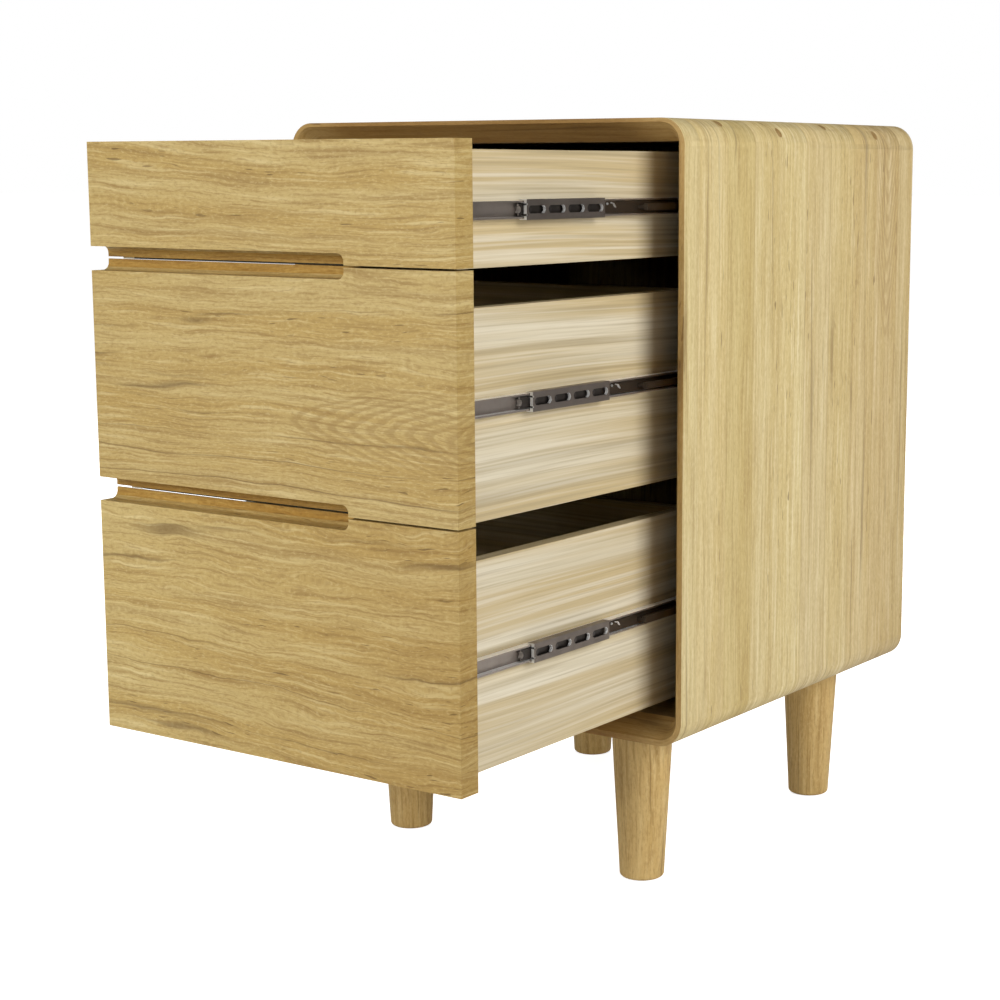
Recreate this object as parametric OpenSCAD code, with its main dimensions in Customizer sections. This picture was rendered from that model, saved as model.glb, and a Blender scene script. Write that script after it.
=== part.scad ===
// Three-drawer bedside cabinet in oak, on four turned legs.
// The drawers run on full-extension ball slides and stand open at rest.
// Origin: floor level, below the middle of the open cabinet. +X is to its right,
// -Y is its front, +Z is up. All sizes in millimetres.

/* [Cabinet] */
// Overall height, floor to top
cab_h = 600; // [560:1:640]
// Overall width
cab_w = 381; // [360:1:400]
// Depth of the carcass, without the open drawers
cab_d = 375.5; // [372:0.5:420]
// Height of the legs
leg_h = 128; // [100:1:140]
// Radius of the rounded corners, seen from the front
corner_r = 20.5; // [18:0.5:30]
// Thickness of the top panel
top_t = 16.5; // [15:0.5:18]
// Thickness of the bottom panel
bottom_t = 17; // [15:0.5:20]
// Thickness of each side panel
side_t = 20; // [18:0.5:22]
// Width of the flat front edge that the bevel leaves
rim_w = 4.5; // [3:0.5:8]
// Width of that edge along the top panel
top_rim_w = 3; // [2:0.5:6]
// Depth of the bevel behind the front edge
bevel_d = 24; // [15:1:30]
// Thickness of the back panel
back_t = 6; // [4:0.5:8]
// Width of a finger where the top panel and the sides lock together
finger_w = 82; // [60:1:100]
// Width of the first finger, at the front edge
first_finger_w = 21; // [10:1:40]
// Radius of the pins in those fingers
pin_r = 3.6; // [2:0.1:5]

/* [Legs] */
// Radius of a leg at its top
leg_top_r = 24.9; // [20:0.1:30]
// Radius of a leg at its foot
leg_foot_r = 17.8; // [14:0.1:22]
// Rounding of a leg's foot
leg_foot_round = 3; // [1:0.5:5]
// Distance from a leg's axis to the cabinet's side
leg_inset_x = 70.7; // [50:0.1:90]
// Distance from a front leg's axis to the front edge
leg_inset_front = 55.3; // [40:0.1:80]
// Distance from a rear leg's axis to the back edge
leg_inset_rear = 40.4; // [36:0.1:80]

/* [Drawer fronts] */
// Thickness of a drawer front
front_t = 18.6; // [16:0.1:22]
// Height of the upper drawer front
upper_front_h = 83; // [80:0.5:86]
// Height of the middle drawer front
middle_front_h = 168.5; // [150:0.5:172]
// Gap between two fronts
front_gap = 1.5; // [1:0.1:3]
// Gap on each side of the fronts, when they are shut
side_gap = 1.7; // [1:0.1:3]
// Gap above the upper front
top_gap = 1; // [0.8:0.1:3]
// Gap below the lower front
bottom_gap = 2; // [1:0.1:3]
// How far the finger pulls run in from the left end
pull_len = 242.8; // [120:0.1:300]
// Height that a finger pull takes from each of its two fronts
pull_h = 8; // [6:0.1:12]
// Depth of a finger pull
pull_depth = 16.8; // [10:0.1:17]
// Rounding inside a finger pull
pull_r = 5.5; // [2:0.1:7]

/* [Drawer boxes] */
// Outer width of a drawer box
box_w = 310; // [300:1:311]
// Length of a drawer box behind its front
box_len = 300; // [250:1:300]
// Thickness of a box's sides, inner front and back
box_t = 11; // [10:0.5:15]
// Thickness of a box's bottom
box_bottom_t = 5; // [3:0.5:6]
// Depth of the groove that holds the bottom
groove_d = 5; // [3:0.5:6]

/* [Slides] */
// How far the drawers stand open at rest
open_by = 266; // [200:1:266]
// Length of every rail
rail_len = 300; // [300:1:300]
// Height of a rail
rail_h = 12; // [12:0.5:14]
// Wall of a rail's channel
rail_wall = 1.2; // [1:0.1:1.5]
// Length of an inner ball cage
cage_len = 94; // [80:1:96]
// Length of an outer ball cage
outer_cage_len = 34; // [26:1:35]

/* [Hidden] */
$fn = 48;

// Drawer levels and sides, as the modules below number them
UPPER = 0;
MIDDLE = 1;
LOWER = 2;
LEVELS = [UPPER, MIDDLE, LOWER];
LEFT = -1;
RIGHT = 1;
SIDES = [LEFT, RIGHT];
cut = 1;               // how far a cutter runs past the face it opens
sliver = 0.01;         // thickness of the two outlines that the mouth is drawn between

// Carcass
front_reach = open_by - bevel_d;          // the open fronts stand this far before the rim
rim_y = (front_reach - cab_d) / 2;
back_y = rim_y + cab_d;
inner_w = cab_w - 2 * side_t;
inner_top = cab_h - top_t;
inner_bottom = leg_h + bottom_t;
rebate_w = 10;                            // shoulder that the back panel is let into
back_recess = 2;                          // back panel's face, in from the back edge
back_panel_y = back_y - back_recess - back_t;

// Legs and their fixings
leg_x = cab_w / 2 - leg_inset_x;
front_leg_y = rim_y + leg_inset_front;
rear_leg_y = back_y - leg_inset_rear;
bolt_r = 4;
bolt_in_leg = 40;
bolt_in_panel = 14;
insert_r = 6;

// Finger joints between the top and the sides, by distance behind the rim. The top panel has
// the first finger, and they take turns from there.
finger_count = ceil((cab_d - first_finger_w) / finger_w) + 1;
function finger_start(k) = k == 0 ? 0 : first_finger_w + (k - 1) * finger_w;
function finger_end(k) = min(first_finger_w + k * finger_w, cab_d);
pin_len = 34;
pin_rise = 7.5;                           // pins that run across, above the panel's underside

// Dowels that join the sides to the bottom
dowel_r = 4;
dowel_in_panel = 11;
dowel_in_side = 20;
dowel_count = 4;
first_dowel = 50;                         // distance of the first one behind the rim
last_dowel = 40;                          // distance of the last one from the back edge
dowel_pitch = (cab_d - first_dowel - last_dowel) / (dowel_count - 1);
dowel_ys = [for (k = [0:dowel_count - 1]) rim_y + first_dowel + k * dowel_pitch];
dowel_x = (cab_w - side_t) / 2;

// Screws. The places are parts of a width or a height, or distances along a rail.
screw_r = 1.75;
screw_head_r = 3.5;
screw_head_t = 1.2;
back_screw_len = 22;
rail_screw_len = 9;
cabinet_screw_len = 15;
front_screw_len = 21;
back_screws_across = [-0.62, 0, 0.62];
back_screws_up = [0.12, 0.5, 0.88];
front_screws_across = [-0.33, 0.33];
front_screws_up = [0.36, 0.78];
cabinet_rail_screws_along = [35, 128, 260];
drawer_rail_screws_along = [90, 150, 270];

// Drawer fronts, top one first
lower_front_h = inner_top - top_gap - inner_bottom - bottom_gap
    - upper_front_h - middle_front_h - 2 * front_gap;
front_w = inner_w - 2 * side_gap;
front_h = [upper_front_h, middle_front_h, lower_front_h];
front_z = [inner_top - top_gap - upper_front_h,
    inner_top - top_gap - upper_front_h - front_gap - middle_front_h,
    inner_bottom + bottom_gap];
front_y = rim_y - front_reach;
box_y = front_y + front_t;

// Drawer boxes: height of each, and its bottom edge above the lower edge of its front. The
// upper two hang into the gap below their fronts, just clear of the front beneath.
hang_gap = 0.2;
box_hang = front_gap - hang_gap;
lower_box_rise = 7.4;
box_rise = [-box_hang, -box_hang, lower_box_rise];
box_h = front_h - [5.4, 24.6, 33.4];
groove_z = 7;
box_x = box_w / 2;

// Slides. Their sections are drawn from the box outwards: 0 is the face of the box's side.
slide_z = front_z + [36.5, 76, 82];       // each slide's middle, from its front's lower edge
slide_t = (inner_w - box_w) / 2;
rail_setback = 2;                         // rails start this far behind the closed front
cabinet_rail_y = rim_y + bevel_d + front_t + rail_setback;
flange = 6.2;                             // width of a drawer rail's flanges
cabinet_flange = 6;                       // width of a cabinet rail's flanges
ball_r = 0.9;
ball_gap = 0.3;                           // running gap between separate slide pieces
middle_ratio = 0.78;                      // middle rail's travel for each mm of the drawer's
inner_cage_ratio = (1 + middle_ratio) / 2;
outer_cage_ratio = middle_ratio / 2;
middle_rail_y = cabinet_rail_y - middle_ratio * open_by;
tongue_len = 147;                         // front length of a middle rail with no outer stem
tongue_notch_r = 2.6;                     // round notch in its front end
stem_gap = 0.4;                           // between a stem and the channel it runs in
stem_in = rail_wall + stem_gap;           // stem's near side
face_in = 4.8;                            // face plate's near and far sides
face_out = 5.8;
face_h = 7.8;
stem_h = rail_h - 2 * rail_wall - 4 * ball_r - 4 * ball_gap;
bridge_h = 2.4;
outer_stem_t = 3.2;
outer_stem_out = slide_t - rail_wall - stem_gap;
outer_stem = [outer_stem_out - outer_stem_t, outer_stem_out];
// Front of each level's inner cage behind the cabinet rail's, with the drawer shut. The cages
// creep a little in use, so the upper one stands further forward.
inner_cage_start = [34.3, 40.3, 40.3];
outer_cage_start = tongue_len + 1;
inner_cage_y = [for (k = LEVELS) cabinet_rail_y + inner_cage_start[k]
    - inner_cage_ratio * open_by];
outer_cage_y = cabinet_rail_y + outer_cage_start - outer_cage_ratio * open_by;
ball_z = rail_h / 2 - rail_wall - ball_gap - ball_r;
strip_t = 0.4;                            // sheet that holds the balls
strip_w = 2.4;
end_ball = 5;                             // first and last ball, from the strip's ends
inner_balls = 6;
outer_balls = 3;
cover_in = 7.8;                           // cage cover's near and far sides
cover_out = 9;
cover_skirt = 0.6;
cover_h = rail_h + 2 * ball_gap + 2 * cover_skirt;
cover_skirt_in = 3;                       // how far in the cover's upper and lower skirts reach
lip_t = 0.8;                              // lip at the cover's front end, and its notches
lip_notch_h = 1.2;
lip_notch_depth = 1.2;
lip_notch_z = 3.6;
slot_count = 4;
first_slot = 2.3;
slot_pitch = 23.3;
slot_len = 19.5;
slot_h = 5.4;
cage_finger_in = 3.4;                     // cage fingers' near side, and how far they wrap in
cage_finger_t = 1;
cage_finger_len = 3;
cage_finger_inset = 1;

// ---- Helpers ----

// A board between two opposite corners
module board(low, high) {
    translate(low) cube(high - low);
}

// A flat outline in X and Z, w wide and standing from z0 to z1, with corners of radius r
module round_outline(w, z0, z1, r) {
    translate([-w / 2, z0 + r]) square([w, z1 - z0 - 2 * r]);
    translate([-w / 2 + r, z0]) square([w - 2 * r, z1 - z0]);
    for (x = [-1, 1], z = [z0 + r, z1 - r])
        translate([x * (w / 2 - r), z]) circle(r, $fn = 96);
}

// Extrudes a flat X and Z outline backwards from y, by len
module extrude_back(y, len) {
    translate([0, y + len, 0]) rotate([90, 0, 0]) linear_extrude(len) children();
}

// A countersunk screw whose head is flush with the origin and whose tip points to -Z
module countersunk(len) {
    translate([0, 0, -screw_head_t]) cylinder(screw_head_t, screw_r, screw_head_r, $fn = 24);
    translate([0, 0, -len]) cylinder(len - screw_head_t, r = screw_r, $fn = 24);
}

// ---- Carcass ----

// The space that the bevelled mouth opens: round corners at the rim, square ones behind
module mouth() {
    hull() {
        extrude_back(rim_y - 2 * sliver, sliver)
            round_outline(cab_w - 2 * rim_w, leg_h + rim_w, cab_h - top_rim_w, corner_r - rim_w);
        board([-inner_w / 2, rim_y + bevel_d, inner_bottom],
            [inner_w / 2, rim_y + bevel_d + sliver, inner_top]);
    }
}

module outer_form() {
    extrude_back(rim_y, cab_d) round_outline(cab_w, leg_h, cab_h, corner_r);
}

// One board of the carcass: the outer form between two widths and two heights, less the
// mouth and the rebate for the back panel
module carcass_board(x0, x1, z0, z1) {
    difference() {
        intersection() {
            outer_form();
            board([x0, rim_y - cut, z0], [x1, back_y + cut, z1]);
        }
        mouth();
        board([-inner_w / 2 - rebate_w, back_panel_y, inner_bottom - rebate_w],
            [inner_w / 2 + rebate_w, back_y + cut, inner_top + rebate_w]);
    }
}

// The blocks of both top corners that belong to the top panel's fingers when first is 0,
// and to the sides' fingers when it is 1
module finger_blocks(first) {
    for (side = SIDES, k = [first:2:finger_count - 1]) {
        y0 = k == 0 ? rim_y - cut : rim_y + finger_start(k);
        y1 = k == finger_count - 1 ? back_y + cut : rim_y + finger_end(k);
        x0 = side == RIGHT ? inner_w / 2 : -cab_w / 2 - cut;
        board([x0, y0, inner_top], [x0 + side_t + cut, y1, cab_h + cut]);
    }
}

// The pins that lock the full fingers, or the holes for them: across through the top panel's
// fingers, and down into the sides'
module pin_set() {
    for (side = SIDES, k = [1:finger_count - 2]) {
        y = rim_y + (finger_start(k) + finger_end(k)) / 2;
        if (k % 2 == 0) translate([side * cab_w / 2, y, inner_top + pin_rise])
            rotate([0, -side * 90, 0]) cylinder(pin_len, r = pin_r);
        else translate([side * (cab_w - side_t) / 2, y, cab_h - pin_len])
            cylinder(pin_len, r = pin_r);
    }
}

module dowel_set() {
    for (x = SIDES, y = dowel_ys) translate([x * dowel_x, y, inner_bottom - dowel_in_panel])
        cylinder(dowel_in_side + dowel_in_panel, r = dowel_r);
}

// Where the back panel's screws stand
module back_screw_places() {
    shoulder_x = inner_w / 2 + rebate_w / 2;
    for (z = [inner_top + rebate_w / 2, inner_bottom - rebate_w / 2], x = back_screws_across)
        translate([x * shoulder_x, back_y - back_recess, z]) rotate([-90, 0, 0]) children();
    for (x = SIDES, k = back_screws_up)
        translate([x * shoulder_x, back_y - back_recess,
            inner_bottom + k * (inner_top - inner_bottom)]) rotate([-90, 0, 0]) children();
}

// Where the screws of the cabinet rails stand
module cabinet_screw_places() {
    for (side = SIDES, k = LEVELS, y = cabinet_rail_screws_along)
        translate([side * (inner_w / 2 - rail_wall), cabinet_rail_y + y, slide_z[k]])
            rotate([0, -side * 90, 0]) children();
}

module leg_places() {
    for (x = [-leg_x, leg_x], y = [front_leg_y, rear_leg_y]) translate([x, y, leg_h]) children();
}

module top_panel() {
    color("burlywood") difference() {
        carcass_board(-cab_w, cab_w, inner_top, cab_h + cut);
        finger_blocks(1);
        pin_set();
        back_screw_places() countersunk(back_screw_len);
    }
}

module bottom_panel() {
    color("burlywood") difference() {
        carcass_board(-cab_w, cab_w, leg_h - cut, inner_bottom);
        dowel_set();
        back_screw_places() countersunk(back_screw_len);
        leg_places() translate([0, 0, -cut]) cylinder(bolt_in_panel + cut, r = insert_r);
    }
}

module side_panel(side) {
    x0 = side == RIGHT ? inner_w / 2 : -cab_w;
    x1 = side == RIGHT ? cab_w : -inner_w / 2;
    color("tan") difference() {
        carcass_board(x0, x1, inner_bottom, cab_h + cut);
        finger_blocks(0);
        pin_set();
        dowel_set();
        back_screw_places() countersunk(back_screw_len);
        cabinet_screw_places() countersunk(cabinet_screw_len);
    }
}

module back_panel() {
    color("wheat") difference() {
        board([-inner_w / 2 - rebate_w, back_panel_y, inner_bottom - rebate_w],
            [inner_w / 2 + rebate_w, back_panel_y + back_t, inner_top + rebate_w]);
        back_screw_places() countersunk(back_screw_len);
    }
}

module corner_pins() {
    color("saddlebrown") intersection() {
        pin_set();
        outer_form();
    }
}

module panel_dowels() {
    color("peru") dowel_set();
}

module back_panel_screws() {
    color("silver") back_screw_places() countersunk(back_screw_len);
}

module cabinet_rail_screws() {
    color("silver") cabinet_screw_places() countersunk(cabinet_screw_len);
}

// ---- Legs ----

module leg(x, y) {
    slope = (leg_top_r - leg_foot_r) / leg_h;
    round_x = leg_foot_r + slope * leg_foot_round - leg_foot_round;
    color("burlywood") translate([x, y, 0]) difference() {
        rotate_extrude($fn = 64) {
            polygon([[0, 0], [round_x, 0], [round_x, leg_foot_round],
                [round_x + leg_foot_round, leg_foot_round], [leg_top_r, leg_h], [0, leg_h]]);
            intersection() {
                translate([round_x, leg_foot_round]) circle(leg_foot_round);
                translate([round_x, 0]) square(leg_foot_round);
            }
        }
        translate([0, 0, leg_h - bolt_in_leg]) cylinder(bolt_in_leg + cut, r = bolt_r);
    }
}

module leg_bolts() {
    color("silver") leg_places() translate([0, 0, -bolt_in_leg])
        cylinder(bolt_in_leg + bolt_in_panel, r = bolt_r);
}

module leg_inserts() {
    color("goldenrod") leg_places() difference() {
        cylinder(bolt_in_panel, r = insert_r);
        translate([0, 0, -cut]) cylinder(bolt_in_panel + 2 * cut, r = bolt_r);
    }
}

// ---- Drawers ----

// Half of a finger pull, cut upwards from the edge at z when up is 1, and downwards when -1.
// Its back corner and its closed right end are rounded.
module pull_cutter(z, up) {
    end_x = -front_w / 2 + pull_len;
    translate([0, 0, z]) scale([1, 1, up]) intersection() {
        // Section in Y and Z
        translate([-front_w / 2 - cut, front_y, 0]) rotate([90, 0, 90])
            linear_extrude(pull_len + cut) {
                translate([-cut, -cut]) square([pull_depth + cut - pull_r, pull_h + cut]);
                translate([-cut, -cut]) square([pull_depth + cut, pull_h + cut - pull_r]);
                translate([pull_depth - pull_r, pull_h - pull_r]) circle(pull_r);
            }
        // Outline in X and Z
        extrude_back(front_y - cut, front_t) {
            translate([-front_w / 2 - cut, -cut]) square([pull_len + cut - pull_r, pull_h + cut]);
            translate([-front_w / 2 - cut, -cut]) square([pull_len + cut, pull_h + cut - pull_r]);
            translate([end_x - pull_r, pull_h - pull_r]) circle(pull_r);
        }
    }
}

// Where the screws that hold a front to its box stand, inside the drawer
module front_screw_places(level) {
    z0 = front_z[level] + box_rise[level];
    for (x = front_screws_across, z = front_screws_up)
        translate([x * box_w, box_y + box_t, z0 + z * box_h[level]])
            rotate([-90, 0, 0]) children();
}

// Where the screws that hold a drawer rail stand
module drawer_rail_screw_places(level) {
    for (side = SIDES, y = drawer_rail_screws_along)
        translate([side * (box_x + rail_wall), box_y + y, slide_z[level]])
            rotate([0, side * 90, 0]) children();
}

module drawer_screw_set(level) {
    front_screw_places(level) countersunk(front_screw_len);
    drawer_rail_screw_places(level) countersunk(rail_screw_len);
}

module drawer_front(level) {
    color("burlywood") difference() {
        board([-front_w / 2, front_y, front_z[level]],
            [front_w / 2, front_y + front_t, front_z[level] + front_h[level]]);
        if (level != LOWER) pull_cutter(front_z[level], 1);
        if (level != UPPER) pull_cutter(front_z[level] + front_h[level], -1);
        front_screw_places(level) countersunk(front_screw_len);
    }
}

// The board that a box's bottom panel takes up
module bottom_board(level) {
    half = box_x - box_t + groove_d;
    z0 = front_z[level] + box_rise[level] + groove_z;
    board([-half, box_y + box_t - groove_d, z0],
        [half, box_y + box_len - box_t + groove_d, z0 + box_bottom_t]);
}

// One wall of a box, between two corners given across and along the drawer
module box_wall(level, low, high) {
    z0 = front_z[level] + box_rise[level];
    color("cornsilk") difference() {
        board([low[0], low[1], z0], [high[0], high[1], z0 + box_h[level]]);
        bottom_board(level);
        drawer_screw_set(level);
    }
}

module drawer_side(level, side) {
    x0 = side == RIGHT ? box_x - box_t : -box_x;
    box_wall(level, [x0, box_y], [x0 + box_t, box_y + box_len]);
}

module drawer_inner_front(level) {
    box_wall(level, [-box_x + box_t, box_y], [box_x - box_t, box_y + box_t]);
}

module drawer_back(level) {
    y1 = box_y + box_len;
    box_wall(level, [-box_x + box_t, y1 - box_t], [box_x - box_t, y1]);
}

module drawer_bottom(level) {
    color("wheat") bottom_board(level);
}

module drawer_screws(level) {
    color("silver") drawer_screw_set(level);
}

// ---- Slides ----

// Places a slide piece, drawn from the box outwards along +X, on one side of a level
module on_side(level, side, y) {
    translate([side * box_x, y, slide_z[level]]) scale([side, 1, 1]) children();
}

// A bar from s0 to s1 outwards, y0 to y1 along the slide, and h high about its middle
module bar(s0, s1, y0, y1, h) {
    board([s0, y0, -h / 2], [s1, y1, h / 2]);
}

module drawer_rail(level, side) {
    color("dimgray") difference() {
        on_side(level, side, box_y) difference() {
            bar(0, flange, 0, rail_len, rail_h);
            bar(rail_wall, flange + cut, -cut, rail_len + cut, rail_h - 2 * rail_wall);
        }
        drawer_rail_screw_places(level) countersunk(rail_screw_len);
    }
}

module cabinet_rail(level, side) {
    color("gray") difference() {
        on_side(level, side, cabinet_rail_y) difference() {
            bar(slide_t - cabinet_flange, slide_t, 0, rail_len, rail_h);
            bar(slide_t - cabinet_flange - cut, slide_t - rail_wall, -cut, rail_len + cut,
                rail_h - 2 * rail_wall);
        }
        cabinet_screw_places() countersunk(cabinet_screw_len);
    }
}

// The stem and face plate run in the drawer rail, the outer stem in the cabinet rail
module middle_rail(level, side) {
    color("lightslategray") on_side(level, side, middle_rail_y) {
        difference() {
            union() {
                bar(stem_in, face_in, 0, rail_len, stem_h);
                bar(face_in, face_out, 0, rail_len, face_h);
            }
            rotate([0, 90, 0]) cylinder(flange + cut, r = tongue_notch_r);
        }
        bar(face_out, outer_stem[0], tongue_len, rail_len, bridge_h);
        bar(outer_stem[0], outer_stem[1], tongue_len, rail_len, stem_h);
    }
}

// Two strips of balls, above and below a stem that runs from s0 to s1
module ball_strips(s0, s1, len, count) {
    mid = (s0 + s1) / 2;
    pitch = (len - 2 * end_ball) / (count - 1);
    for (up = [-1, 1]) translate([0, 0, up * ball_z]) {
        bar(mid - strip_w / 2, mid + strip_w / 2, 0, len, strip_t);
        for (k = [0:count - 1]) translate([mid, end_ball + k * pitch, 0]) sphere(ball_r, $fn = 24);
    }
}

// The slotted cover of an inner cage, with a notched lip at its front end
module cage_cover() {
    difference() {
        union() {
            bar(cover_in, cover_out, 0, cage_len, cover_h);
            bar(flange + ball_gap, cover_out, 0, lip_t, cover_h);
            for (up = [-1, 1]) translate([0, 0, up * (cover_h - cover_skirt) / 2])
                bar(cover_skirt_in, cover_out, 0, cage_len, cover_skirt);
        }
        for (k = [0:slot_count - 1]) translate([0, first_slot + k * slot_pitch, 0]) cover_slot();
        for (up = [-1, 1]) translate([0, 0, up * lip_notch_z])
            bar(flange, cover_out + cut, -cut, lip_notch_depth, lip_notch_h);
    }
}

// A round-ended slot through the cover
module cover_slot() {
    r = slot_h / 2;
    translate([cover_in - cut, 0, 0]) {
        bar(0, 2 * cut + cover_out - cover_in, r, slot_len - r, slot_h);
        for (y = [r, slot_len - r]) translate([0, y, 0]) rotate([0, 90, 0])
            cylinder(2 * cut + cover_out - cover_in, r = r);
    }
}

// Fingers that carry the ball strips round the face plate of the middle rail
module cage_fingers() {
    z_out = rail_h / 2 - rail_wall - ball_gap;
    last_y = cage_len - cage_finger_inset - cage_finger_len;
    for (up = [-1, 1], y0 = [cage_finger_inset, last_y]) {
        y1 = y0 + cage_finger_len;
        z = up > 0 ? face_h / 2 + ball_gap : -z_out;
        board([cage_finger_in, y0, z], [cover_in, y1, z + z_out - face_h / 2 - ball_gap]);
        board([cage_finger_in, y0, up > 0 ? ball_z - strip_t / 2 : -z_out],
            [cage_finger_in + cage_finger_t, y1, up > 0 ? z_out : -ball_z + strip_t / 2]);
    }
}

module inner_ball_cages(level) {
    color("darkslategray") for (side = SIDES) on_side(level, side, inner_cage_y[level]) {
        cage_cover();
        cage_fingers();
        ball_strips(stem_in, face_in, cage_len, inner_balls);
    }
}

module outer_ball_cages(level) {
    color("darkslategray") for (side = SIDES) on_side(level, side, outer_cage_y)
        ball_strips(outer_stem[0], outer_stem[1], outer_cage_len, outer_balls);
}

// ---- Nodes ----

top_panel();
bottom_panel();
side_panel(LEFT);  // left_side_panel
side_panel(RIGHT);  // right_side_panel
back_panel();
corner_pins();
panel_dowels();
back_panel_screws();
leg(-leg_x, front_leg_y);  // front_left_leg
leg(leg_x, front_leg_y);  // front_right_leg
leg(-leg_x, rear_leg_y);  // rear_left_leg
leg(leg_x, rear_leg_y);  // rear_right_leg
leg_bolts();
leg_inserts();
cabinet_rail_screws();
drawer_front(UPPER);  // upper_drawer_front
drawer_side(UPPER, LEFT);  // upper_drawer_left_side
drawer_side(UPPER, RIGHT);  // upper_drawer_right_side
drawer_inner_front(UPPER);  // upper_drawer_inner_front
drawer_back(UPPER);  // upper_drawer_back
drawer_bottom(UPPER);  // upper_drawer_bottom
drawer_screws(UPPER);  // upper_drawer_screws
drawer_rail(UPPER, LEFT);  // upper_left_drawer_rail
drawer_rail(UPPER, RIGHT);  // upper_right_drawer_rail
middle_rail(UPPER, LEFT);  // upper_left_middle_rail
middle_rail(UPPER, RIGHT);  // upper_right_middle_rail
cabinet_rail(UPPER, LEFT);  // upper_left_cabinet_rail
cabinet_rail(UPPER, RIGHT);  // upper_right_cabinet_rail
inner_ball_cages(UPPER);  // upper_inner_ball_cages
outer_ball_cages(UPPER);  // upper_outer_ball_cages
drawer_front(MIDDLE);  // middle_drawer_front
drawer_side(MIDDLE, LEFT);  // middle_drawer_left_side
drawer_side(MIDDLE, RIGHT);  // middle_drawer_right_side
drawer_inner_front(MIDDLE);  // middle_drawer_inner_front
drawer_back(MIDDLE);  // middle_drawer_back
drawer_bottom(MIDDLE);  // middle_drawer_bottom
drawer_screws(MIDDLE);  // middle_drawer_screws
drawer_rail(MIDDLE, LEFT);  // middle_left_drawer_rail
drawer_rail(MIDDLE, RIGHT);  // middle_right_drawer_rail
middle_rail(MIDDLE, LEFT);  // middle_left_middle_rail
middle_rail(MIDDLE, RIGHT);  // middle_right_middle_rail
cabinet_rail(MIDDLE, LEFT);  // middle_left_cabinet_rail
cabinet_rail(MIDDLE, RIGHT);  // middle_right_cabinet_rail
inner_ball_cages(MIDDLE);  // middle_inner_ball_cages
outer_ball_cages(MIDDLE);  // middle_outer_ball_cages
drawer_front(LOWER);  // lower_drawer_front
drawer_side(LOWER, LEFT);  // lower_drawer_left_side
drawer_side(LOWER, RIGHT);  // lower_drawer_right_side
drawer_inner_front(LOWER);  // lower_drawer_inner_front
drawer_back(LOWER);  // lower_drawer_back
drawer_bottom(LOWER);  // lower_drawer_bottom
drawer_screws(LOWER);  // lower_drawer_screws
drawer_rail(LOWER, LEFT);  // lower_left_drawer_rail
drawer_rail(LOWER, RIGHT);  // lower_right_drawer_rail
middle_rail(LOWER, LEFT);  // lower_left_middle_rail
middle_rail(LOWER, RIGHT);  // lower_right_middle_rail
cabinet_rail(LOWER, LEFT);  // lower_left_cabinet_rail
cabinet_rail(LOWER, RIGHT);  // lower_right_cabinet_rail
inner_ball_cages(LOWER);  // lower_inner_ball_cages
outer_ball_cages(LOWER);  // lower_outer_ball_cages
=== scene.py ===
"""Looks of the three-drawer oak bedside cabinet: oak and softwood, slide details, studio."""
import math

import bmesh
import bpy
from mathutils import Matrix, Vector


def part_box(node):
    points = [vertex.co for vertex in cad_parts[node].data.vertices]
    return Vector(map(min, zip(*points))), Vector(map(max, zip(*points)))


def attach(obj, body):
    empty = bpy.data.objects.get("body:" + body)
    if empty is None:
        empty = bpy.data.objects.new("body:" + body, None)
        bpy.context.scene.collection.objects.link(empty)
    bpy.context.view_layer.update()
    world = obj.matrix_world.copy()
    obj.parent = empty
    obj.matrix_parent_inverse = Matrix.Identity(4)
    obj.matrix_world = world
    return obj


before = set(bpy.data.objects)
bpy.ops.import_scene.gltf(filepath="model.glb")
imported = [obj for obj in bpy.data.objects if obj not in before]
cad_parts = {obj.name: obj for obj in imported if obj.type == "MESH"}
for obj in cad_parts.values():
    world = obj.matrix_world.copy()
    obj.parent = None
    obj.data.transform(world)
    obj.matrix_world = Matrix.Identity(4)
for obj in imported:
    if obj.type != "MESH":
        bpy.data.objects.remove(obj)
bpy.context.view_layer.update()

MM = 0.001
METAL = 0.85                          # how metallic the steel parts are
# colour of the painted shade on the middle rail under and in front of the cage
RAIL_PAINTED_SHADE = (0.075, 0.064, 0.056)
LEVELS = ("upper", "middle", "lower")
SIDES = {"left": -1.0, "right": 1.0}


# ---- Places, from the frame ----

def low(node):
    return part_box(node)[0]


def high(node):
    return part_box(node)[1]


RIM = low("right_side_panel").y
SIDE_OUT = high("right_side_panel").x
TOP_OUT = high("top_panel").z
TOP_IN = low("top_panel").z
BOTTOM_OUT = low("bottom_panel").z
BOTTOM_IN = high("bottom_panel").z
CORNER = 20.5 * MM                    # outer radius of the carcass's corners
FRONT_FACE = low("upper_drawer_front").y


# ---- Shader graphs ----

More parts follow.
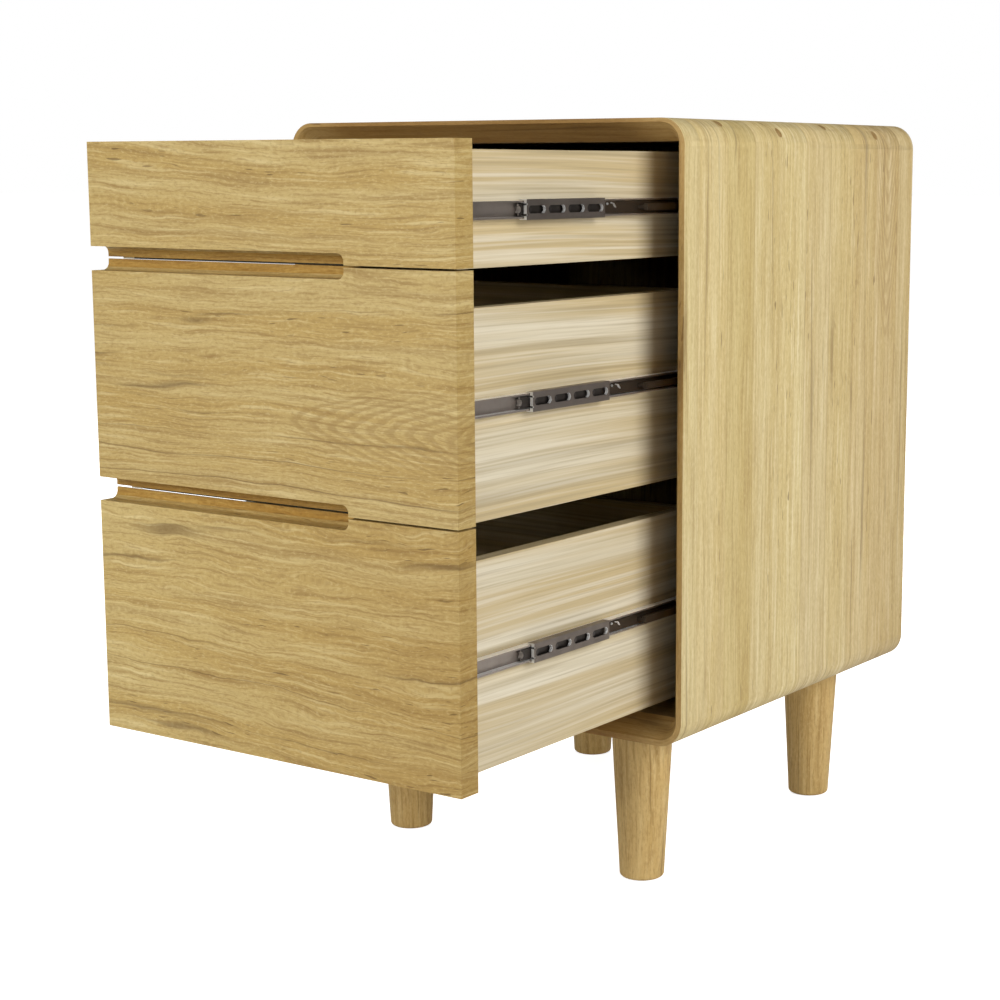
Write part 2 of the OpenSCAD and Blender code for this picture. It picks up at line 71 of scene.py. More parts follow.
class Graph:
    """A material built node by node. Values may be numbers, tuples or sockets."""

    def __init__(self, name):
        self.material = bpy.data.materials.new(name)
        self.material.use_nodes = True
        self.nodes = self.material.node_tree.nodes
        self.links = self.material.node_tree.links
        self.nodes.clear()
        self.surface = self.nodes.new("ShaderNodeBsdfPrincipled")
        output = self.nodes.new("ShaderNodeOutputMaterial")
        self.links.new(self.surface.outputs[0], output.inputs["Surface"])
        place = self.nodes.new("ShaderNodeTexCoord")
        self.place = place.outputs["Object"]
        self.x, self.y, self.z = self.split(self.place)
        self.facing_x, self.facing_y, self.facing_z = self.split(place.outputs["Normal"])
        # the faces' own direction, without smoothing
        self.flat_y = self.split(self.nodes.new("ShaderNodeNewGeometry").outputs["True Normal"])[1]

    def split(self, vector):
        node = self.nodes.new("ShaderNodeSeparateXYZ")
        self.links.new(vector, node.inputs[0])
        return node.outputs

    def put(self, socket, value):
        if isinstance(value, bpy.types.NodeSocket):
            self.links.new(value, socket)
        elif isinstance(value, (tuple, list)) and len(value) == 3 and socket.type == "RGBA":
            socket.default_value = (*value, 1.0)
        else:
            socket.default_value = value

    def math(self, operation, *values):
        node = self.nodes.new("ShaderNodeMath")
        node.operation = operation
        for socket, value in zip(node.inputs, values):
            self.put(socket, value)
        return node.outputs[0]

    def add(self, a, b):
        return self.math("ADD", a, b)

    def times(self, a, b):
        return self.math("MULTIPLY", a, b)

    def vector(self, x, y, z):
        node = self.nodes.new("ShaderNodeCombineXYZ")
        for socket, value in zip(node.inputs, (x, y, z)):
            self.put(socket, value)
        return node.outputs[0]

    def noise(self, where, scale=1.0, detail=2.0, roughness=0.5):
        node = self.nodes.new("ShaderNodeTexNoise")
        self.put(node.inputs["Vector"], where)
        self.put(node.inputs["Scale"], scale)
        self.put(node.inputs["Detail"], detail)
        self.put(node.inputs["Roughness"], roughness)
        return node.outputs[0]

    def random(self, value):
        node = self.nodes.new("ShaderNodeTexWhiteNoise")
        node.noise_dimensions = "1D"
        self.put(node.inputs["W"], value)
        return node.outputs["Value"]

    def ramp(self, value, low_in, high_in, low_out=0.0, high_out=1.0, smooth=True):
        """From low_out to high_out while the value goes from low_in to high_in."""
        node = self.nodes.new("ShaderNodeMapRange")
        node.interpolation_type = "SMOOTHSTEP" if smooth else "LINEAR"
        numbers = (value, low_in, high_in, low_out, high_out)
        for socket, number in zip(node.inputs, numbers):
            self.put(socket, number)
        return node.outputs[0]

    def mix(self, amount, a, b, blend="MIX"):
        node = self.nodes.new("ShaderNodeMix")
        node.data_type = "RGBA"
        node.blend_type = blend
        self.put(node.inputs[0], amount)
        self.put(node.inputs[6], a)
        self.put(node.inputs[7], b)
        return node.outputs[2]

    def shade(self, color, tone):
        """The colour times a grey or a tint."""
        tint = tone if isinstance(tone, (tuple, bpy.types.NodeSocket)) else (tone, tone, tone)
        return self.mix(1.0, color, tint, "MULTIPLY")

    def blend(self, color, layers, strength=1.0):
        """Mixes layers in. Each has a field, its start and end, the most mixed in, and a colour."""
        for field, start, end, most, target in layers:
            amount = self.times(self.ramp(field, start, end), most * strength)
            color = self.mix(amount, color, target)
        return color

    def steps(self, value, tones):
        """One tint after another, at equal steps of value from 0 to 1."""
        node = self.nodes.new("ShaderNodeValToRGB")
        node.color_ramp.interpolation = "CONSTANT"
        stops = node.color_ramp.elements
        for number, tone in enumerate(tones):
            stop = stops[number] if number < 2 else stops.new(number / len(tones))
            stop.position = number / len(tones)
            stop.color = (*tone, 1.0)
        self.links.new(value, node.inputs[0])
        return node.outputs[0]

    def bump(self, height, strength, distance):
        node = self.nodes.new("ShaderNodeBump")
        self.put(node.inputs["Strength"], strength)
        self.put(node.inputs["Distance"], distance)
        self.put(node.inputs["Height"], height)
        self.links.new(node.outputs[0], self.surface.inputs["Normal"])

    def finish(self, color, roughness, metallic=0.0, specular=0.5):
        self.put(self.surface.inputs["Base Color"], color)
        self.put(self.surface.inputs["Roughness"], roughness)
        self.put(self.surface.inputs["Metallic"], metallic)
        self.put(self.surface.inputs["Specular IOR Level"], specular)
        return self.material


# ---- Wood ----

# Where a face counts as an end or an edge of its board
TURNED = 0.6
# Where the grain of the shell begins, and how far apart its boards and the pieces' seeds are
SHELL_GRAIN = 0.9
BOARD_STEP = 3.1
OAK_SEED_STEP = 1.7
SOFTWOOD_SEED_STEP = 2.3
WAVE_HEIGHT = 0.020                   # how far the softwood's streaks wander
# Linear colours: light streak, ground, golden, brown streak, dark pore
OAK = ((0.640, 0.515, 0.256), (0.513, 0.382, 0.157), (0.463, 0.320, 0.109),
       (0.300, 0.186, 0.060), (0.135, 0.077, 0.026))
OAK_SIDE = ((0.740, 0.640, 0.390), (0.620, 0.505, 0.260), (0.560, 0.435, 0.195),
            (0.385, 0.265, 0.110), (0.170, 0.098, 0.036))
LEG = ((0.690, 0.530, 0.255), (0.590, 0.415, 0.170), (0.520, 0.345, 0.123),
       (0.340, 0.205, 0.068), (0.155, 0.080, 0.026))
PIN = ((0.420, 0.290, 0.130), (0.340, 0.220, 0.086), (0.300, 0.180, 0.066),
       (0.200, 0.115, 0.038), (0.110, 0.058, 0.020))


def front_axes(g):
    """Along, across and behind the face. The grain of the face carries on round its edges."""
    depth = g.math("SUBTRACT", g.y, FRONT_FACE)
    ends = g.math("GREATER_THAN", g.math("ABSOLUTE", g.facing_x), TURNED)
    edges = g.math("GREATER_THAN", g.math("ABSOLUTE", g.facing_z), TURNED)
    along = g.add(g.x, g.times(ends, g.times(depth, g.math("SIGN", g.facing_x))))
    across = g.add(g.z, g.times(edges, depth))
    flat = g.math("SUBTRACT", 1.0, g.math("MAXIMUM", ends, edges))
    return along, across, g.times(depth, flat)


# Each of these gives the ways along the grain, across it and behind the face.

def board_axes(g):
    return g.x, g.z, g.y


def upright_axes(g):
    return g.z, g.x, g.y


def box_side_axes(g):
    return g.y, g.z, g.x


def bottom_axes(g):
    return g.y, g.x, g.z


def shell_depth(g, up):
    """Height above the shell's inner faces, even on its round corners. up: 1 top, -1 bottom."""
    outer, inner = (TOP_OUT, TOP_IN) if up > 0 else (BOTTOM_OUT, BOTTOM_IN)
    beside = g.math("SUBTRACT", g.math("ABSOLUTE", g.x), SIDE_OUT - CORNER)
    over = g.math("SUBTRACT", g.times(g.z, up), up * outer - CORNER)
    around = g.math("SQRT", g.add(g.math("POWER", g.math("MAXIMUM", beside, 0.0), 2.0),
                                  g.math("POWER", g.math("MAXIMUM", over, 0.0), 2.0)))
    return g.math("SUBTRACT", around, CORNER - abs(outer - inner))


def shell_axes(g):
    """Grain that climbs one side, turns over onto the top and goes down the other side."""
    climb = g.math("SUBTRACT", g.math("SUBTRACT", g.z, TOP_OUT), g.math("ABSOLUTE", g.x))
    along = g.add(g.times(g.math("SIGN", g.x), climb), TOP_OUT + SHELL_GRAIN)
    return along, g.y, shell_depth(g, 1.0)


def floor_axes(g):
    """The same, for the bottom panel, in step with the sides at the corners."""
    climb = g.math("ADD", g.math("SUBTRACT", g.z, TOP_OUT), g.math("ABSOLUTE", g.x))
    climb = g.math("SUBTRACT", climb, 2 * SIDE_OUT)
    along = g.add(g.times(g.math("SIGN", g.x), climb), TOP_OUT + SHELL_GRAIN)
    return along, g.y, shell_depth(g, -1.0)


def streaks(g, axes, scales, **more):
    """Noise stretched along the grain. axes and scales: along, across, behind."""
    return g.noise(g.vector(*(g.times(a, b) for a, b in zip(axes, scales))), **more)


def oak(name, axes, colors, seed, slope=0.05, wave=0.014, ripple=0.0030, contrast=1.0,
        veins=0.6, staves=None, flame=None, end_tone=None, rim_painted_shade=None, pull_painted_shade=None,
        level_painted_shade=None, lining_painted_shade=None, drift=None):
    """Oak with dense fine streaks. Its streaks follow the level lines of a gently bent field.

    slope, wave and ripple are how far it bends over a long, a middling and a short way.
    staves: the boards' width, where the first starts and their tints. flame: see flame_rings.
    end_tone tints the ends. The other tones are painted shade: they darken the faces that look
    forward (rim), those behind the front face (pull), the rim away from the sides (level) and the
    inner faces (lining). drift: the tints at the left and at the right.
    """
    g = Graph(name)
    light, ground, golden, brown, pore = colors
    along, across, depth = axes(g)
    raw_along, raw_depth = along, depth
    tone = seam = None
    if staves:
        width, start, tones = staves
        boards = g.math("DIVIDE", g.math("SUBTRACT", across, start), width)
        index = g.math("FLOOR", boards)
        along = g.add(along, g.times(g.random(g.add(index, seed + 0.37)), BOARD_STEP))
        tone = g.steps(g.math("DIVIDE", g.add(index, 1.5), len(tones)), tones)
        seam_depth = g.math("POWER", g.random(g.add(index, seed + 8.1)), 2.0)
        seam = g.times(g.ramp(g.math("FRACT", boards), 0.93, 1.0), seam_depth)
        depth = g.add(depth, index)
    along = g.add(along, seed * OAK_SEED_STEP)
    place = (along, across, depth)
    sway = streaks(g, place, (2.0, 6.0, 6.0), detail=1.0)
    bend = streaks(g, place, (8.0, 27.0, 27.0), detail=2.0)
    tremble = streaks(g, place, (36.0, 100.0, 100.0), detail=2.0)
    flow = across
    for field, size in ((sway, slope), (bend, wave), (tremble, ripple)):
        flow = g.add(flow, g.times(g.math("SUBTRACT", field, 0.5), size))
    course = (along, flow, depth)
    broad = streaks(g, course, (1.8, 34.0, 20.0), detail=3.0, roughness=0.6)
    bands = streaks(g, course, (4.0, 125.0, 60.0), detail=2.0)
    main = streaks(g, course, (11.0, 340.0, 200.0), detail=3.0, roughness=0.62)
    fine = streaks(g, course, (42.0, 820.0, 600.0), detail=2.0, roughness=0.6)
    speck = streaks(g, course, (230.0, 620.0, 500.0), detail=2.0, roughness=0.65)
    thread = streaks(g, course, (0.9, 26.0, 20.0), detail=1.0)
    line = g.math("ABSOLUTE", g.math("SUBTRACT", thread, 0.5))
    line = g.math("SUBTRACT", 1.0, g.ramp(line, 0.0, 0.014))
    line = g.times(line, g.ramp(bands, 0.44, 0.60))
    dash = streaks(g, course, (60.0, 520.0, 300.0), detail=0.0)
    dash = g.times(g.ramp(dash, 0.72, 0.78), g.ramp(broad, 0.50, 0.62))

    color = g.mix(g.ramp(broad, 0.38, 0.64), ground, golden)
    layers = ((bands, 0.50, 0.70, 0.30, brown),
              (main, 0.51, 0.70, 0.62, brown), (main, 0.48, 0.30, 0.60, light),
              (fine, 0.50, 0.72, 0.42, brown),
              (speck, 0.50, 0.72, 0.34, brown), (speck, 0.48, 0.30, 0.30, light))
    color = g.blend(color, layers, contrast)
    color = g.mix(g.times(line, veins), color, pore)
    color = g.mix(g.times(dash, 0.7), color, pore)
    if flame:
        rings = flame_rings(g, raw_along, flow, flame)
        color = g.mix(g.times(rings, 0.42), color, brown)
    if staves:
        color = g.shade(g.mix(g.times(seam, 0.6), color, brown), tone)
    if drift:
        left_tone, right_tone = drift
        rightward = g.ramp(raw_along, -0.15, 0.15, smooth=False)
        color = g.shade(color, g.mix(rightward, left_tone, right_tone))
    if end_tone:
        ends = g.ramp(g.math("ABSOLUTE", g.facing_x), 0.5, 0.8)
        color = g.mix(ends, color, g.shade(color, end_tone))
    if pull_painted_shade:
        # painted shade: the pull's recess behind the front face is darkened and browned
        color = g.mix(g.ramp(depth, 2 * MM, 12 * MM), color, g.shade(color, pull_painted_shade))
    if rim_painted_shade:
        # painted shade: faces that look forward are darkened
        rim = g.ramp(g.math("MULTIPLY", g.flat_y, -1.0), 0.05, 0.25)
        color = g.mix(rim, color, g.shade(color, rim_painted_shade))
    if level_painted_shade:
        # painted shade: the forward rim away from the sides is darkened further
        level = g.ramp(g.math("ABSOLUTE", g.x), SIDE_OUT - 12 * MM, SIDE_OUT - 60 * MM)
        color = g.mix(g.times(rim, level), color, g.shade(color, level_painted_shade))
    if lining_painted_shade:
        # painted shade: the inner faces are darkened, standing for the dark inside of the carcass
        inward = g.ramp(g.flat_y, -0.35, -0.10)
        lining = g.times(g.ramp(raw_depth, 6 * MM, 2 * MM), inward)
        color = g.mix(lining, color, g.shade(color, lining_painted_shade))
    height = g.math("SUBTRACT", 1.0, g.add(g.times(main, 0.5), g.times(fine, 0.5)))
    g.bump(height, 0.22, 0.4 * MM)
    rough = g.ramp(main, 0.3, 0.7, 0.50, 0.62)
    return g.finish(color, rough, specular=0.3)


def flame_rings(g, along, flow, flame):
    """Nested pointed rings, where the saw ran level with the tree's heart.

    flame: where they start along and where their middle is across, how far they reach across,
    their pitch and how steep they are.
    """
    start, middle, reach, pitch, slope = flame
    off = g.math("SUBTRACT", flow, middle)
    ahead = g.math("SUBTRACT", along, start)
    rounded = g.math("SQRT", g.add(g.math("POWER", off, 2.0), 2e-5))
    field = g.math("SUBTRACT", ahead, g.times(rounded, slope))
    phase = g.math("FRACT", g.math("DIVIDE", field, pitch))
    ring = g.times(g.ramp(phase, 0.30, 0.62), g.ramp(phase, 1.0, 0.86))
    near = g.ramp(g.math("ABSOLUTE", off), 0.6 * reach, 0.22 * reach)
    return g.times(g.times(ring, near), g.ramp(field, 0.0, 12 * MM))


# ---- Other materials ----

# Linear colours of the drawer boxes' wood: ground, golden, dark streak, light streak, warm
BOX_WOOD = ((0.600, 0.535, 0.392), (0.520, 0.412, 0.228), (0.330, 0.262, 0.150),
            (0.730, 0.675, 0.545), (0.560, 0.400, 0.180))


def softwood(name, axes, seed, warm=0.0, front_shade=1.0):
    """Pale drawer-box wood with soft, even streaks. front_shade darkens what faces forward."""
    g = Graph(name)
    ground, golden, dark, light, warm_tint = BOX_WOOD
    along, across, depth = axes(g)
    along = g.add(along, seed * SOFTWOOD_SEED_STEP)
    wave = streaks(g, (along, across, depth), (2.0, 9.0, 9.0), detail=1.0)
    bent = g.add(across, g.times(wave, WAVE_HEIGHT))
    course = (along, bent, depth)
    wide = streaks(g, course, (0.9, 34.0, 20.0), detail=2.0)
    thin = streaks(g, course, (1.6, 130.0, 60.0), detail=2.0)
    crisp = streaks(g, course, (4.0, 420.0, 200.0), detail=3.0)
    fine = streaks(g, (along, across, depth), (14.0, 800.0, 800.0), detail=2.0)
    color = g.mix(g.ramp(wide, 0.38, 0.60), ground, golden)
    layers = ((thin, 0.52, 0.70, 0.55, dark), (thin, 0.48, 0.32, 0.55, light),
              (crisp, 0.50, 0.68, 0.40, dark), (crisp, 0.50, 0.34, 0.30, light),
              (fine, 0.50, 0.75, 0.22, dark))
    color = g.blend(color, layers)
    if warm:
        color = g.mix(warm, color, warm_tint)
    if front_shade < 1.0:
        forward = g.ramp(g.facing_y, -0.15, -0.40)
        color = g.mix(forward, color, g.shade(color, front_shade))
    g.bump(fine, 0.12, 0.3 * MM)
    return g.finish(color, g.ramp(fine, 0.3, 0.7, 0.50, 0.60), specular=0.3)


def steel(name, color, roughness, edge=None, edge_until=1.0, painted_shade_until=None, lips=None):
    """Plated strip, drawn lengthways.

    edge is a painted highlight on its edges that face forward, as far back as edge_until.
    Painted shade darkens it as far back as the given y. lips is a painted highlight on its level
    edges.
    """
    g = Graph(name)
    drawn = streaks(g, (g.x, g.y, g.z), (900.0, 12.0, 1400.0), detail=2.0)
    cloud = g.noise(g.place, scale=90.0, detail=3.0)
    speck = g.noise(g.place, scale=1200.0, detail=2.0)
    dulled = g.times(g.add(g.add(drawn, cloud), speck), 0.10)
    finish = g.mix(dulled, color, tuple(c * 0.45 for c in color))
    metal = METAL
    if painted_shade_until:
        # painted shade: dark where the cage shades the middle rail, up to the given y
        finish = g.mix(g.ramp(g.y, painted_shade_until, painted_shade_until + 3 * MM), RAIL_PAINTED_SHADE, finish)
    if edge:
        # painted highlight: edges that face forward are painted bright and made less metallic
        in_front = g.math("LESS_THAN", g.y, edge_until)
        painted_highlight = g.times(g.ramp(g.facing_y, -0.30, -0.70), in_front)
        finish = g.mix(painted_highlight, finish, edge)
        metal = g.math("SUBTRACT", METAL, g.times(painted_highlight, 0.8 * METAL))
    if lips:
        # painted highlight: level edges are painted bright and made less metallic
        level = g.ramp(g.math("ABSOLUTE", g.facing_z), 0.35, 0.75)
        finish = g.mix(level, finish, lips)
        metal = g.math("SUBTRACT", metal, g.times(level, 0.5 * METAL))
    rough = g.ramp(cloud, 0.3, 0.7, roughness * 0.85, roughness * 1.2)
    g.bump(g.add(drawn, speck), 0.03, 0.05 * MM)
    return g.finish(finish, rough, metallic=metal)


# ---- Node looks ----

def shown(node):
    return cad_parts[node]


def dress(node, material):
    data = shown(node).data
    data.materials.clear()
    data.materials.append(material)
    for face in data.polygons:
        face.material_index = 0


def ease(node, width):
    """Takes the sharpness off a CAD piece's edges."""
    piece = shown(node)
    weld = piece.modifiers.new("weld", "WELD")
    weld.merge_threshold = 0.002 * MM
    bevel = piece.modifiers.new("ease", "BEVEL")
    bevel.width = width
    bevel.segments = 2
    bevel.limit_method = "ANGLE"
    bevel.angle_limit = math.radians(38.0)
    bevel.harden_normals = False


def dress_carcass():
    # tints of the boards that a side is glued from, front to back
    tones = ((0.98, 0.99, 0.99), (1.00, 1.00, 1.00), (0.91, 0.89, 0.80), (1.00, 1.01, 1.03),
             (1.06, 1.09, 1.15), (0.98, 0.98, 1.02), (1.00, 1.00, 1.02), (0.97, 0.95, 0.97),
             (0.94, 0.91, 0.93), (0.91, 0.88, 0.88))
    staves = (41 * MM, RIM + 21 * MM, tones)
    # the sides, top and floor carry painted shade on the faces that look forward and on the inner
    # faces
    straight = {"slope": 0.006, "wave": 0.004, "ripple": 0.0018, "contrast": 0.88, "veins": 0.5,
                "staves": staves, "flame": (1.10, RIM + 330 * MM, 0.05, 0.019, 4.5),
                "rim_painted_shade": (0.76, 0.61, 0.44), "lining_painted_shade": (0.42, 0.34, 0.24)}
    side = oak("oak_side", shell_axes, OAK_SIDE, 3.0, **straight)
    # the top's and the floor's forward rim away from the sides gets more painted shade
    top = oak("oak_top", shell_axes, OAK_SIDE, 3.0, level_painted_shade=(0.78, 0.69, 0.56), **straight)
    floor = oak("oak_floor", floor_axes, OAK_SIDE, 3.0, level_painted_shade=(0.68, 0.60, 0.48), **straight)
    for node, material in (("top_panel", top), ("left_side_panel", side),
                           ("right_side_panel", side), ("bottom_panel", floor)):
        dress(node, material)
        ease(node, 0.4 * MM)
    # the back panel's forward face, seen inside the carcass, gets painted shade
    dress("back_panel", oak("oak_back", upright_axes, OAK, 9.0, rim_painted_shade=(0.38, 0.31, 0.22)))
    dress("corner_pins", oak("oak_pin", board_axes, PIN, 5.0))
    dress("panel_dowels", softwood("beech", upright_axes, 8.0, warm=0.3))
    leg = oak("oak_leg", upright_axes, LEG, 6.0, slope=0.01, wave=0.006, ripple=0.002)
    for node in ("front_left_leg", "front_right_leg", "rear_left_leg", "rear_right_leg"):
        dress(node, leg)


def dress_drawers():
    zinc = steel("zinc", (0.62, 0.61, 0.58), 0.35)
    # painted highlights: the rail's lips and the cage's and nickel's forward edges are painted
    # bright
    rail = steel("rail_steel", (0.44, 0.38, 0.335), 0.42, lips=(0.95, 0.93, 0.90))
    cage = steel("cage_steel", (0.27, 0.23, 0.20), 0.45, edge=(0.90, 0.89, 0.86))
    # painted shade: the outer cages' dark colour stands for the shade inside the carcass
    outer_cage = steel("outer_cage_steel", (0.120, 0.100, 0.086), 0.45)
    nickel = steel("nickel", (0.88, 0.87, 0.84), 0.30, edge=(0.92, 0.91, 0.89))
    dark = steel("dark_steel", (0.10, 0.088, 0.080), 0.35)
    middle_height = (low("middle_drawer_front").z + high("middle_drawer_front").z) / 2
    # what each front's grain has of its own
    figures = {"upper": {},
               "middle": {"flame": (0.0, middle_height - 14 * MM, 0.07, 0.017, 3.2)},
               "lower": {"wave": 0.020, "ripple": 0.0055,
                         "drift": ((1.08, 1.10, 1.11), (0.92, 0.88, 0.80))}}
    for number, level in enumerate(LEVELS):
        front = f"{level}_drawer_front"
        # the fronts' finger pulls get painted shade in their recess
        dress(front, oak("oak_" + front, front_axes, OAK, number + 1.0, contrast=1.22,
                         end_tone=(0.84, 0.82, 0.76), pull_painted_shade=(0.90, 0.74, 0.45),
                         **figures[level]))
        ease(front, 0.6 * MM)
        sides = softwood(f"{level}_box_sides", box_side_axes, number + 1.0)
        inner = softwood(f"{level}_box_inner", board_axes, number + 4.0, front_shade=0.09)
        back = softwood(f"{level}_box_back", board_axes, number + 4.5)
        for part, material in (("left_side", sides), ("right_side", sides),
                               ("inner_front", inner), ("back", back)):
            dress(f"{level}_drawer_{part}", material)
            ease(f"{level}_drawer_{part}", 0.8 * MM)
        bottom = softwood(f"{level}_box_bottom", bottom_axes, number + 7.0, warm=0.2)
        dress(f"{level}_drawer_bottom", bottom)
        dress(f"{level}_drawer_screws", zinc)
        # painted shade: the middle rail's dark colour stands for the shade inside the carcass; its
        # front edges carry a painted highlight
        middle_rail = steel(f"{level}_middle_rail_steel", (0.105, 0.080, 0.058), 0.45,
                            edge=(0.46, 0.42, 0.38), edge_until=FRONT_FACE + 120 * MM,
                            painted_shade_until=cage_facts(level)[1] - 2 * MM)
        for side_name in SIDES:
            dress(f"{level}_{side_name}_drawer_rail", rail)
            dress(f"{level}_{side_name}_middle_rail", middle_rail)
            dress(f"{level}_{side_name}_cabinet_rail", rail)
        dress(f"{level}_inner_ball_cages", cage)
        dress(f"{level}_outer_ball_cages", outer_cage)
        slot_lips(level, nickel)
        slot_rollers(level, dark)
        latch(level, nickel)
    for node in ("back_panel_screws", "cabinet_rail_screws", "leg_bolts"):
        dress(node, zinc)
    dress("leg_inserts", steel("brass", (0.66, 0.47, 0.19), 0.35))


# ---- Slide details ----

# Slots of an inner cage's cover, as the CAD has them, and the cover's thickness
FIRST_SLOT = 2.3 * MM
SLOT_PITCH = 23.3 * MM
SLOT_LEN = 19.5 * MM
SLOT_R = 2.7 * MM
SLOT_COUNT = 4
COVER_T = 1.2 * MM
FACE_PLATE_GAP = 3.2 * MM         # from the cover's outer face in to the middle rail's face plate


def make_piece(name, bm, material, body):
    mesh = bpy.data.meshes.new(name)
    bmesh.ops.recalc_face_normals(bm, faces=bm.faces)
    bm.to_mesh(mesh)
    bm.free()
    mesh.materials.append(material)
    piece = bpy.data.objects.new(name, mesh)
    bpy.context.collection.objects.link(piece)
    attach(piece, body)
    return piece


def outline_prism(bm, outline, x0, x1):
    """A closed prism from x0 to x1 over an outline of Y and Z points."""
    ends = [[bm.verts.new((x, y, z)) for y, z in outline] for x in (x0, x1)]
    bm.faces.new(ends[0])
    bm.faces.new(reversed(ends[1]))
    for k in range(len(outline)):
        nxt = (k + 1) % len(outline)
        bm.faces.new((ends[0][k], ends[1][k], ends[1][nxt], ends[0][nxt]))


def arc(y, z, radius, start, end, steps):
    turns = [math.radians(start + (end - start) * k / steps) for k in range(steps + 1)]
    return [(y + radius * math.cos(turn), z + radius * math.sin(turn)) for turn in turns]


def cage_facts(level):
    """An inner cage's front end, rear end, height and outer face."""
    lowest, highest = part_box(f"{level}_inner_ball_cages")
    return lowest.y, highest.y, (lowest.z + highest.z) / 2, highest.x


def slot_places(level):
    front, _, height, cover = cage_facts(level)
    for sign in SIDES.values():
        for k in range(SLOT_COUNT):
            yield sign, front + FIRST_SLOT + k * SLOT_PITCH, height, cover


def slot_lips(level, material):
    """The bright turned-in lip at the rear end of each slot."""
    bm = bmesh.new()
    for sign, y, z, cover in slot_places(level):
        middle = y + SLOT_LEN - SLOT_R
        outer = arc(middle, z, SLOT_R - 0.02 * MM, -78, 78, 14)
        inner = arc(middle, z, SLOT_R - 0.45 * MM, 70, -70, 14)
        inside, outside = cover - COVER_T - 0.7 * MM, cover + 0.2 * MM
        outline_prism(bm, outer + inner, sign * inside, sign * outside)
    make_piece(f"{level}_slot_lips", bm, material, f"{level}_inner_cages")


def slot_rollers(level, material):
    """A dark roller end behind the front of each slot."""
    bm = bmesh.new()
    for sign, y, z, cover in slot_places(level):
        middle = y + SLOT_R + 0.6 * MM
        base = cover - COVER_T - 1.2 * MM
        for radius, rise in ((2.3, 0.6), (1.9, 0.9), (1.2, 1.1)):
            ring = arc(middle, z, radius * MM, 0, 360, 20)[:-1]
            outline_prism(bm, ring, sign * base, sign * (base + rise * MM))
    make_piece(f"{level}_slot_rollers", bm, material, f"{level}_inner_cages")


def latch(level, material):
    """Two rivets and a small bent lever on the middle rail, just behind the cage."""
    _, rear, height, cover = cage_facts(level)
    face = cover - FACE_PLATE_GAP
    bm = bmesh.new()
    for sign in SIDES.values():
        for back, up in ((7.4, 2.6), (2.6, -2.0)):
            for radius, rise in ((0.95, 0.35), (0.75, 0.75), (0.40, 1.0)):
                ring = arc(rear + back * MM, height + up * MM, radius * MM, 0, 360, 12)[:-1]
                outline_prism(bm, ring, sign * face, sign * (face + rise * MM))
        lever = [(11.5, 2.9), (14.6, 2.2), (16.2, 0.2), (17.6, -0.4), (17.6, 0.6),
                 (16.9, 1.2), (15.3, 3.0), (11.7, 3.7)]
        points = [(rear + y * MM, height + z * MM) for y, z in lever]
        outline_prism(bm, points, sign * face, sign * (face + 0.9 * MM))
    make_piece(f"{level}_slide_latches", bm, material, f"{level}_middle_rails")


# ---- Studio ----

LIT_POINT = (0.0, 0.0, 0.32)
WORLD_LIGHT = 0.04
# The view: lens in mm, shift, place in metres, and turn in degrees down and round
LENS = 75.227
SHIFT = (-0.0976, 0.01705)
CAMERA_PLACE = (1.0023, -1.37145, 0.5624)
CAMERA_DOWN, CAMERA_ROUND = 9.434, 34.244


def floor_material():
    """Near white, with a faint shadow where the object stands, and pure white further off."""
    g = Graph("studio_floor")
    seen = g.nodes.new("ShaderNodeLightPath").outputs["Is Camera Ray"]
    grain = g.noise(g.place, scale=40.0, detail=4.0)
    color = g.mix(g.times(grain, 0.04), (0.82, 0.82, 0.82), (0.76, 0.76, 0.75))
    away = g.math("SQRT", g.add(g.math("POWER", g.x, 2.0), g.math("POWER", g.y, 2.0)))
    glow = g.ramp(away, 0.35, 0.9, 0.86, 1.0)
    g.put(g.surface.inputs["Emission Color"], (1.0, 1.0, 1.0))
    g.put(g.surface.inputs["Emission Strength"], g.times(seen, glow))
    return g.finish(color, 0.9, specular=0.0)


def make_floor():
    size = 40.0
    corners = [(-size, -size, 0), (size, -size, 0), (size, size, 0), (-size, size, 0)]
    mesh = bpy.data.meshes.new("floor")
    mesh.from_pydata(corners, [], [(0, 1, 2, 3)])
    floor = bpy.data.objects.new("floor", mesh)
    floor.location.z = -0.5 * MM
    bpy.context.collection.objects.link(floor)
    mesh.materials.append(floor_material())


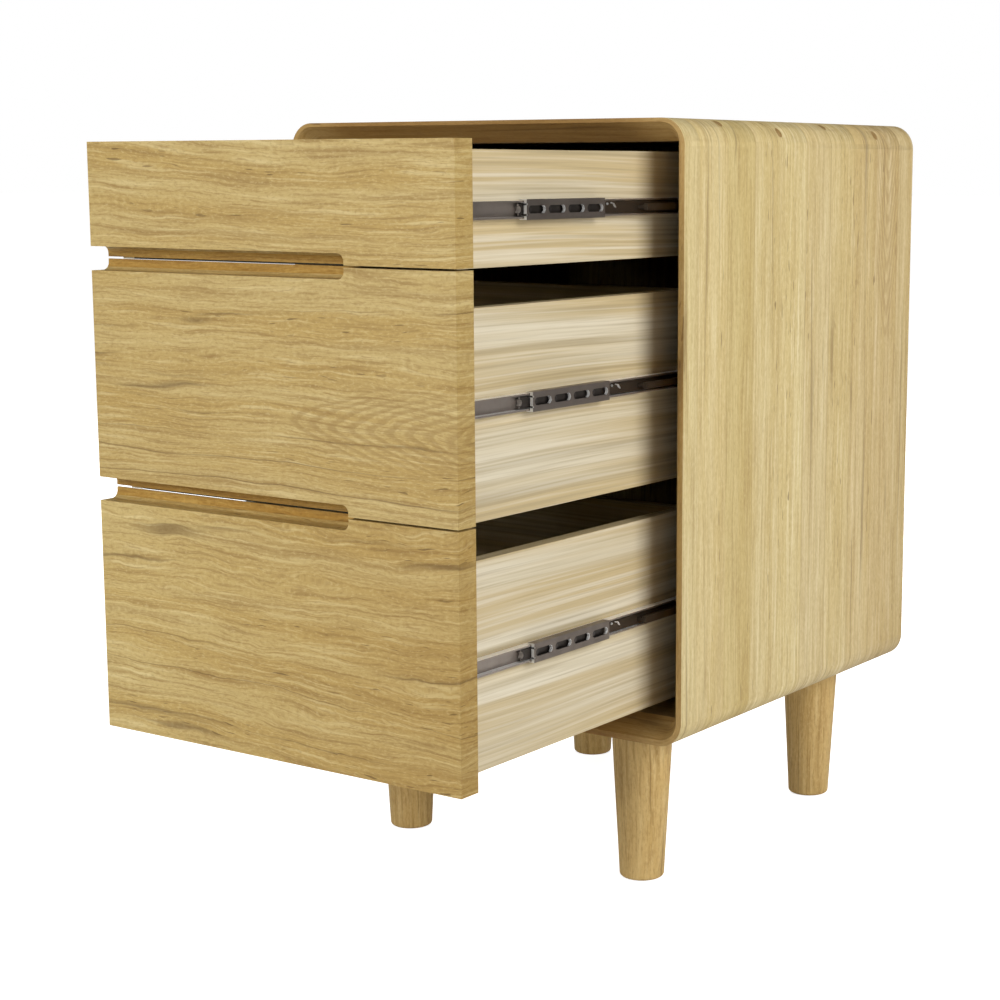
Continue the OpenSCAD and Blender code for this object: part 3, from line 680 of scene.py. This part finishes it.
def make_world():
    world = bpy.data.worlds.new("studio")
    bpy.context.scene.world = world
    world.use_nodes = True
    nodes, links = world.node_tree.nodes, world.node_tree.links
    nodes.clear()
    white = nodes.new("ShaderNodeBackground")
    white.inputs["Color"].default_value = (1.0, 1.0, 1.0, 1.0)
    dim = nodes.new("ShaderNodeBackground")
    dim.inputs["Color"].default_value = (1.0, 0.985, 0.96, 1.0)
    dim.inputs["Strength"].default_value = WORLD_LIGHT
    path = nodes.new("ShaderNodeLightPath")
    mix = nodes.new("ShaderNodeMixShader")
    output = nodes.new("ShaderNodeOutputWorld")
    links.new(path.outputs["Is Camera Ray"], mix.inputs[0])
    links.new(dim.outputs[0], mix.inputs[1])
    links.new(white.outputs[0], mix.inputs[2])
    links.new(mix.outputs[0], output.inputs["Surface"])


def area_light(name, place, size, power, color=(1.0, 1.0, 1.0), shiny=True):
    """A soft box that looks at the middle of the cabinet. shiny: it shows in reflections."""
    data = bpy.data.lights.new(name, "AREA")
    data.shape = "RECTANGLE"
    data.size, data.size_y = size
    data.energy = power
    data.color = color
    light = bpy.data.objects.new(name, data)
    light.location = place
    aim = Vector(LIT_POINT) - Vector(place)
    light.rotation_euler = aim.to_track_quat("-Z", "Y").to_euler()
    light.visible_glossy = shiny
    bpy.context.collection.objects.link(light)


def make_lights():
    area_light("key_right", (2.4, -0.20, 1.35), (1.9, 1.4), 58.0, (1.0, 0.99, 0.98), shiny=False)
    area_light("fill_front", (-0.35, -2.9, 1.45), (1.8, 1.4), 64.0, (1.0, 0.99, 0.96))
    area_light("back_left", (-1.7, 2.3, 1.5), (1.8, 1.4), 46.0, (1.0, 0.99, 0.97), shiny=False)
    area_light("top", (0.2, 0.2, 2.8), (1.6, 1.6), 4.0, shiny=False)


def make_camera():
    data = bpy.data.cameras.new("camera")
    data.lens = LENS
    data.sensor_width = 36.0
    data.shift_x, data.shift_y = SHIFT
    data.clip_start, data.clip_end = 0.05, 50.0
    camera = bpy.data.objects.new("camera", data)
    camera.location = CAMERA_PLACE
    camera.rotation_euler = (math.radians(90.0 - CAMERA_DOWN), 0.0, math.radians(CAMERA_ROUND))
    bpy.context.collection.objects.link(camera)
    bpy.context.scene.camera = camera


def make_studio():
    make_floor()
    make_world()
    make_lights()
    make_camera()
    scene = bpy.context.scene
    scene.view_settings.view_transform = "Standard"
    scene.view_settings.look = "None"


dress_carcass()
dress_drawers()
make_studio()
